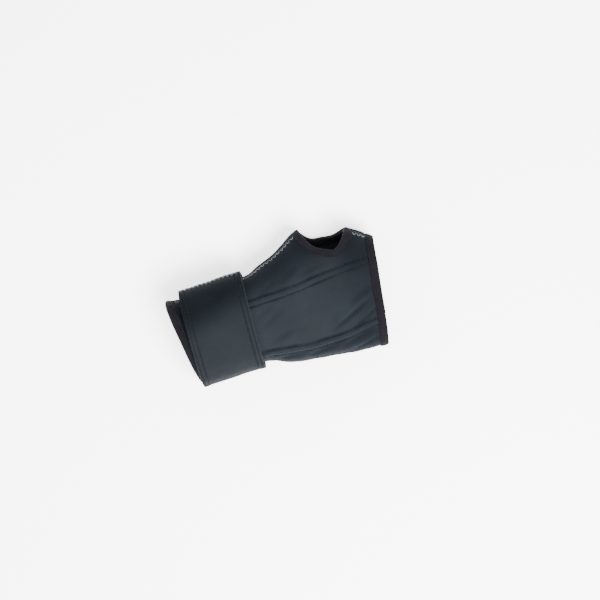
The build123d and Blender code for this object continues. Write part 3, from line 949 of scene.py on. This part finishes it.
def lining_height(x, y):
    """The height of the palm's lining over a point in plan."""
    ulnar, radial = through(x, STATION, ULNAR_SIDE), through(x, STATION, RADIAL_SIDE)
    dorsal, palm = through(x, STATION, DORSAL_SIDE), PALM_HEIGHT - PALM_FALL * x
    half_width = np.where(y >= CREST, radial - CREST, CREST - ulnar) - FABRIC
    reach = (1 - (np.abs(y - CREST) / half_width) ** 2.6) ** (1 / 2.6)
    return (palm + dorsal) / 2 + ((palm - dorsal) / 2 - FABRIC) * reach


def pocket_point(x, y, drop):
    """A point of the pocket: sunk round the stay, flat against the lining at its borders."""
    under = np.clip((np.abs(y - CREST) - POCKET_HALF) / 1.9, 0, 1)
    past = np.clip((x - 60.9) / 2.0, 0, 1)
    share = np.maximum(under**2 * (3 - 2 * under), past**2 * (3 - 2 * past))
    sunk = PALM_HEIGHT - FABRIC - PALM_FALL * x - POCKET_DEPTH * math.hypot(1, PALM_FALL)
    slack = 0.25 * wander(np.stack([x, y, 0 * x], -1), 16, 39) * (1 - share)
    z = share * (lining_height(x, y) - 0.15) + (1 - share) * (sunk - 0.3 - abs(slack)) - drop
    return np.stack([x, y, z], -1)


borders = (np.linspace(-16.2, -12, 14), np.linspace(-11, 11, 18), np.linspace(12, 16.2, 14))
across = CREST + np.concatenate(borders)
grid = np.meshgrid(np.linspace(*POCKET, 170), across, indexing="ij")
rings = np.concatenate([pocket_point(*grid, 0.0), pocket_point(*grid, 0.9)[:, ::-1]], 1)
pocket = swept("stay_pocket_cloth", rings)
pocket.data.materials.append(lining_knit)
x = np.arange(-66.5, 64.2, STITCH_PITCH)
y = CREST + np.arange(-13.5, 13.6, STITCH_PITCH)
rows = []
for x_at, y_at, ahead in (
    (x, CREST - 15.3 + 0 * x, (1, 0, -PALM_FALL)),
    (x, CREST + 15.3 + 0 * x, (1, 0, -PALM_FALL)),
    (64 + 0 * y, y, (0, 1.0, 0)),
):
    count = (len(x_at), 1)
    rows.append((pocket_point(x_at, y_at, 0.9), np.tile(ahead, count), np.tile((0, 0, -1.0), count)))
pocket_stitches = set_on_points("stay_pocket_stitches", rows, lockstitch, dark_thread, seed=39)
sew_to_sleeve((pocket, pocket_stitches), "stay_pocket")

# ---------------------------------------------------------------------------------------------
# Palmar stay: a flat aluminium bar with round ends, its edges broken, that keeps the wrist from
# bending. It slides out of the pocket towards the forearm.
STAY_ENDS, STAY_HALF, STAY_THICK, STAY_DEPTH = (-66.0, 60.0), 12.0, 1.6, 2.4


def stay_solid(name, grow, start, end, square_end, material, node, slot):
    """A bar with round ends, as loops of its outline from one broken edge to the other."""
    loops = []
    for depth, inset in ((0, 0.45), (0.12, 0.14), (0.4, 0), (0.6, 0), (0.88, 0.14), (1, 0.45)):
        near, far, half = start - grow, end + grow, STAY_HALF + grow
        corner = half - 1
        outline = []
        for x_at, y_at, turn in ((far, half, 0), (near, half, 1), (near, -half, 2), (far, -half, 3)):
            sharp = square_end and ((x_at == near) == (square_end < 0))
            radius = (0.6 if sharp else corner) - inset
            x_middle = x_at + math.copysign(radius + inset, start + end - 2 * x_at)
            y_middle = math.copysign(half - radius - inset, y_at)
            for angle in (math.pi / 2 * (turn + i / 14) for i in range(15)):
                outline.append((x_middle + radius * math.cos(angle), y_middle + radius * math.sin(angle)))
        down = STAY_DEPTH - grow + depth * (STAY_THICK + 2 * grow)
        loops.append([(x, y, -down) for x, y in outline])
    size = len(loops[0])
    local = np.array(loops).reshape(-1, 3)
    tilt = np.array(Matrix.Rotation(STAY_SLOPE, 3, "Y"))
    points = (local @ tilt.T + (0, CREST, PALM_HEIGHT - FABRIC) + TO_FRAME) * MM
    quads = []
    for layer in range(len(loops) - 1):
        for i in range(size):
            j = (i + 1) % size
            above, below = layer * size, (layer + 1) * size
            quads.append((above + j, above + i, below + i, below + j))
    top, bottom = list(range(size)), list(range((len(loops) - 1) * size, len(loops) * size))[::-1]
    data = bpy.data.meshes.new(name)
    data.from_pydata(points.tolist(), [], quads + [top, bottom])
    data.polygons.foreach_set("use_smooth", np.array([True] * len(quads) + [False, False]))
    data.materials.append(material)
    piece = bpy.data.objects.new(name, data)
    bpy.context.scene.collection.objects.link(piece)
    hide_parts(node)
    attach(piece, "stay")


brushed, add, shader = new_material("brushed_aluminium")
coordinates = add("ShaderNodeTexCoord").outputs["Object"]
stretch = add("ShaderNodeMapping", {"Vector": coordinates, "Scale": (30, 2600, 2600)})
scratches = add("ShaderNodeTexNoise", {"Vector": stretch.outputs[0], "Scale": 1, "Detail": 3})
dull = add("ShaderNodeMapRange", {"Value": scratches.outputs["Fac"], "To Min": 0.26, "To Max": 0.5})
relief_of_scratches = {"Height": scratches.outputs["Fac"], "Distance": 0.00002, "Strength": 0.5}
scratch_bump = add("ShaderNodeBump", relief_of_scratches)
brushed.node_tree.links.new(dull.outputs[0], shader.inputs["Roughness"])
brushed.node_tree.links.new(scratch_bump.outputs["Normal"], shader.inputs["Normal"])
shader.inputs["Base Color"].default_value = (0.72, 0.73, 0.75, 1)
shader.inputs["Metallic"].default_value = 1
stay_solid("palmar_stay_bar", 0.0, *STAY_ENDS, 0, brushed, "palmar_stay", "stay_metal")

# ---------------------------------------------------------------------------------------------
# Stay tips: both ends of the bar are dipped in black vinyl, 11 mm deep, so that the metal can't
# cut its way out of the pocket.
vinyl, add, shader = new_material("dipped_vinyl")
coordinates = add("ShaderNodeTexCoord").outputs["Object"]
orange_peel = add("ShaderNodeTexNoise", {"Vector": coordinates, "Scale": 700, "Detail": 2})
relief_of_peel = {"Height": orange_peel.outputs["Fac"], "Distance": 0.00005, "Strength": 0.5}
peel_bump = add("ShaderNodeBump", relief_of_peel)
vinyl.node_tree.links.new(peel_bump.outputs["Normal"], shader.inputs["Normal"])
shader.inputs["Base Color"].default_value = (0.012, 0.012, 0.014, 1)
shader.inputs["Roughness"].default_value = 0.38
COAT = 0.4
stay_solid("stay_tip_proximal", COAT, STAY_ENDS[0], -55.4, 1, vinyl, "stay_tips", "stay_tip")
stay_solid("stay_tip_distal", COAT, 49.4, STAY_ENDS[1], -1, vinyl, "stay_tips", "stay_tip")

# ---------------------------------------------------------------------------------------------
# Strap base: the sewn end of the 50 mm strap, from the back of the wrist round its ulnar side.
# The strap is foam laminate in the same knit, hemmed 5 mm deep along both of its edges.
STRAP_EDGES = ((-71.1, 0.02), (-21.3, 0.025))
STRAP_FACES = (1.9, 4.85)
HEM = [(0, -1.2), (0.08, -0.75), (0.3, -0.22), (0.8, 0.1), (1.35, 0.12), (1.65, -0.1), (1.9, -0.32)]
HEM += [(2.15, -0.1), (2.5, 0.14), (3.3, 0.22), (4.1, 0.16), (4.6, -0.1), (4.95, -0.55)]
HEM += [(5.3, -0.35), (6.0, -0.08)]
FOLDS = {
    "strap_ulnar": 178.0,
    "strap_palm_ulnar": 128.0,
    "strap_palm_radial": 90.0,
    "strap_radial_top": 50.0,
    "strap_radial_side": 8.0,
    "strap_tab": -30.0,
}
CUTS = [286.0, 200.0, 153.0, 109.0, 70.0, 29.0, -11.0, -62.0]


def strap_edges(turn):
    """Where the strap's two slanted edges lie along the wrist, in a direction round it."""
    found = []
    for start, slant in STRAP_EDGES:
        x = start + 0 * turn
        for _ in range(4):
            x = start + slant * section_point(x, turn, STRAP_FACES[1])[..., 1]
        found.append(x)
    return found


def strap_length(turn):
    """Millimetres along the strap's middle line, from its base end to a direction."""
    steps = np.radians(np.linspace(CUTS[0], CUTS[-1], 1400))
    points = section_point(np.full(steps.shape, -47.5), steps, STRAP_FACES[1])
    along = np.concatenate([[0], np.cumsum(np.linalg.norm(np.diff(points, axis=0), axis=-1))])
    return np.interp(-turn, -steps, along), along[-1]


def strap_point(x, turn, out):
    """A point of the worn strap, which waves a little and stands slack off the thumb side."""
    point = section_point(x, turn, out)
    normal = outward(section_point, x, turn)
    wave = 0.3 * wander(point, 34, 21) + 0.1 * wander(point, 11, 22)
    off_thumb = np.angle(np.exp(1j * (turn - 0.42)))
    wave = wave + (2.6 - 0.045 * (x + 50)) * np.exp(-((off_thumb / 0.5) ** 2))
    return point + normal * (wave * np.clip((point[..., 2] - 4) / 9, 0, 1))[..., None]


def strap_grid(turn):
    """Across the strap: place along the wrist, how its outer face stands over the rest, and the painted shade
    of its hem grooves.
    """
    low, high = strap_edges(turn)
    along, whole = strap_length(turn)
    to_end = np.minimum(along, whole - along)
    at_tab = np.maximum(0, 9 - (whole - along))
    inset = 9 - np.sqrt(81 - at_tab**2)
    low, high = (low + inset)[:, None], (high - inset)[:, None]
    near, lift = np.array(HEM).T
    share = np.linspace(0, 1, 46)[None, 1:-1]
    middle = low + near[-1] + (high - low - 2 * near[-1]) * share
    x = np.concatenate([low + near, middle, high - near[::-1]], 1)
    lift = np.concatenate([lift, 0 * share[0], lift[::-1]])[None, :]
    pucker = 0.1 * np.sin(along[:, None] * 1.15 + 2 * np.sin(along[:, None] / 7)) * (lift < -0.25)
    # Painted shade in the sunk grooves of the hems, weaker further along the strap from its base.
    sunk = np.minimum(lift + 0.05, 0) * np.clip(1.15 - along / 120, 0.35, 1)[:, None]
    shade = np.clip(1 + 1.7 * sunk, 0.15, 1)
    round_end = np.sqrt(np.maximum(0.04, 1 - np.clip(1 - to_end / 1.3, 0, 1) ** 2))[:, None]
    middle_out = (STRAP_FACES[0] + STRAP_FACES[1]) / 2
    outer = middle_out + (STRAP_FACES[1] + lift + pucker - middle_out) * round_end
    inner = middle_out - (middle_out - STRAP_FACES[0] + np.minimum(lift, 0)) * round_end
    return x, outer, inner, shade


def strap_piece(name, start, end, seed):
    """One stretch of the strap with its stitching, between two directions in degrees."""
    degrees = np.linspace(start, end, int(abs(start - end) * 0.75))
    fine = np.array((0.02, 0.12, 0.4)) * np.sign(end - start)
    first, last = degrees[:1], degrees[-1:]
    degrees = np.concatenate([first, first + fine, degrees[1:-1], last - fine[::-1], last])
    if end == CUTS[-1]:
        degrees = np.concatenate([degrees[:-6], np.linspace(degrees[-6], end, 26)])
    turn = np.radians(degrees)
    x, outer, inner, shade = strap_grid(turn)
    turns = np.broadcast_to(turn[:, None], x.shape)
    rings = np.concatenate([strap_point(x, turns, outer), strap_point(x, turns, inner)[:, ::-1]], 1)
    shade = np.concatenate([shade, np.ones(shade.shape)], 1)
    cloth = swept(name + "_cloth", rings, start=float(strap_length(turn)[0][0]), shade=shade)
    cloth.data.materials.append(strap_knit)
    rows = []
    first, whole = strap_length(turn[0])
    last = strap_length(turn[-1])[0]
    at = np.arange(math.ceil(first / STITCH_PITCH), math.ceil(last / STITCH_PITCH)) * STITCH_PITCH
    at = at[(at > 3) & (at < whole - 8)]
    steps = np.radians(np.linspace(CUTS[0], CUTS[-1], 1400))
    where = np.interp(at, strap_length(steps)[0], steps)
    low, high = strap_edges(where)
    for x_at, lift in ((low + 1.9, -0.1), (low + 4.95, -0.3), (high - 1.9, -0.1), (high - 4.95, -0.3)):
        points = strap_point(x_at, where, STRAP_FACES[1] + lift)
        ahead = strap_point(x_at, where - 0.01, STRAP_FACES[1] + lift) - points
        rows.append((points, ahead, outward(section_point, x_at, where)))
    stitches = set_on_points(name + "_stitches", rows, lockstitch, dark_thread, seed=seed)
    return cloth, stitches


strap_knit = knit("strap_knit", (0.0039, 0.005, 0.006), wale=0.7, course=0.6, depth=0.13, fuzz=0.7)
for part in strap_piece("strap_base", CUTS[0], CUTS[1], 40):
    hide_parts("strap_base")
    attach(part, "sleeve")

# ---------------------------------------------------------------------------------------------
# Free strap: the same band on over the palm and the thumb side to its hook end. It is one soft
# piece; here it is drawn in six stretches, each named for one of its folds.
for number, name in enumerate(FOLDS):
    reach = (max(CUTS[number + 1], -90.0), CUTS[number + 2])
    if number in (0, len(FOLDS) - 1):
        reach = (min(reach[0], FOLDS[name] + 20), max(reach[1], FOLDS[name] - 20))
    ends = (section_point(np.full(2, -49.4), np.radians(reach), 3.4) + TO_FRAME) * MM
    for part in strap_piece(name, CUTS[number + 1], CUTS[number + 2], 41 + number):
        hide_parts(name)
        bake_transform(part)

# ---------------------------------------------------------------------------------------------
# Strap seam: where the free strap is joined to its hook end, a flatlocked seam crosses it along
# the thumb side. Its pale zigzag shows as a speckled line on the outline of the wrist.
SEAM_TURN = math.radians(20.0)
low, high = (float(edge[0]) for edge in strap_edges(np.array([SEAM_TURN])))
x = np.arange(low + 1.5, high - 1.0, ZIGZAG_PITCH)
rows = []
for turn_by in (-0.035, 0.035):
    where = np.full(x.shape, SEAM_TURN + turn_by)
    points = strap_point(x, where, STRAP_FACES[1] + 0.02)
    ahead = np.tile((1.0, 0, 0), (len(x), 1))
    rows.append(slanted((points, ahead, outward(section_point, x, where)), ZIGZAG_SLANT))
seam = set_on_points("strap_seam_stitches", rows, zigzag, pale_thread, seed=47)
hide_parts("strap_radial_top")
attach(seam, "strap_radial_top")

# ---------------------------------------------------------------------------------------------
# Hook pad: a moulded nylon hook tape, sewn inside the strap's free end. Its rows of hooks grip
# the loop patch on the back of the sleeve.
hook_plastic, add, shader = new_material("hook_nylon")
coordinates = add("ShaderNodeTexCoord").outputs["Object"]
dust = add("ShaderNodeTexNoise", {"Vector": coordinates, "Scale": 500, "Detail": 3})
dull = add("ShaderNodeMapRange", {"Value": dust.outputs["Fac"], "To Min": 0.4, "To Max": 0.65})
hook_plastic.node_tree.links.new(dull.outputs[0], shader.inputs["Roughness"])
shader.inputs["Base Color"].default_value = (0.006, 0.006, 0.007, 1)
shader.inputs["Specular IOR Level"].default_value = 0.12
HOOK_TURNS, HOOK_PLACES = (math.radians(-59.0), math.radians(-34.0)), (-66.5, -25.5)
HOOK_TAPE_FACES = (1.95, 1.2)
grid = np.meshgrid(np.linspace(*HOOK_TURNS, 40), np.linspace(*HOOK_PLACES, 44), indexing="ij")
rings = [section_point(grid[1], grid[0], out) for out in HOOK_TAPE_FACES]
pad = swept("hook_pad_tape", np.concatenate([rings[0], rings[1][:, ::-1]], 1))
pad.data.materials.append(hook_plastic)
HOOK = [(-0.12, 0, -0.1), (-0.12, 0, 0.16), (-0.06, 0, 0.3), (0.08, 0, 0.36), (0.2, 0, 0.3), (0.25, 0, 0.2)]
hook = tube("moulded_hook", HOOK, (0.11, 0.08, 0.07, 0.065, 0.06, 0.045), sides=4)
hook_turns = np.linspace(HOOK_TURNS[0] + 0.02, HOOK_TURNS[1] - 0.02, 24)
grid = np.meshgrid(hook_turns, np.arange(HOOK_PLACES[0] + 0.8, HOOK_PLACES[1] - 0.7, 1.0))
turn, x = (axis.ravel() for axis in grid)
up = -outward(section_point, x, turn)
row = (section_point(x, turn, HOOK_TAPE_FACES[1]), np.tile((1.0, 0, 0), (len(x), 1)), up)
hooks = set_on_points("hook_pad_hooks", [row], hook, hook_plastic, twist=0.03, seed=48)
for part in (pad, hooks):
    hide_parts("hook_pad")
    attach(part, "strap_tab")

low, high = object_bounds()
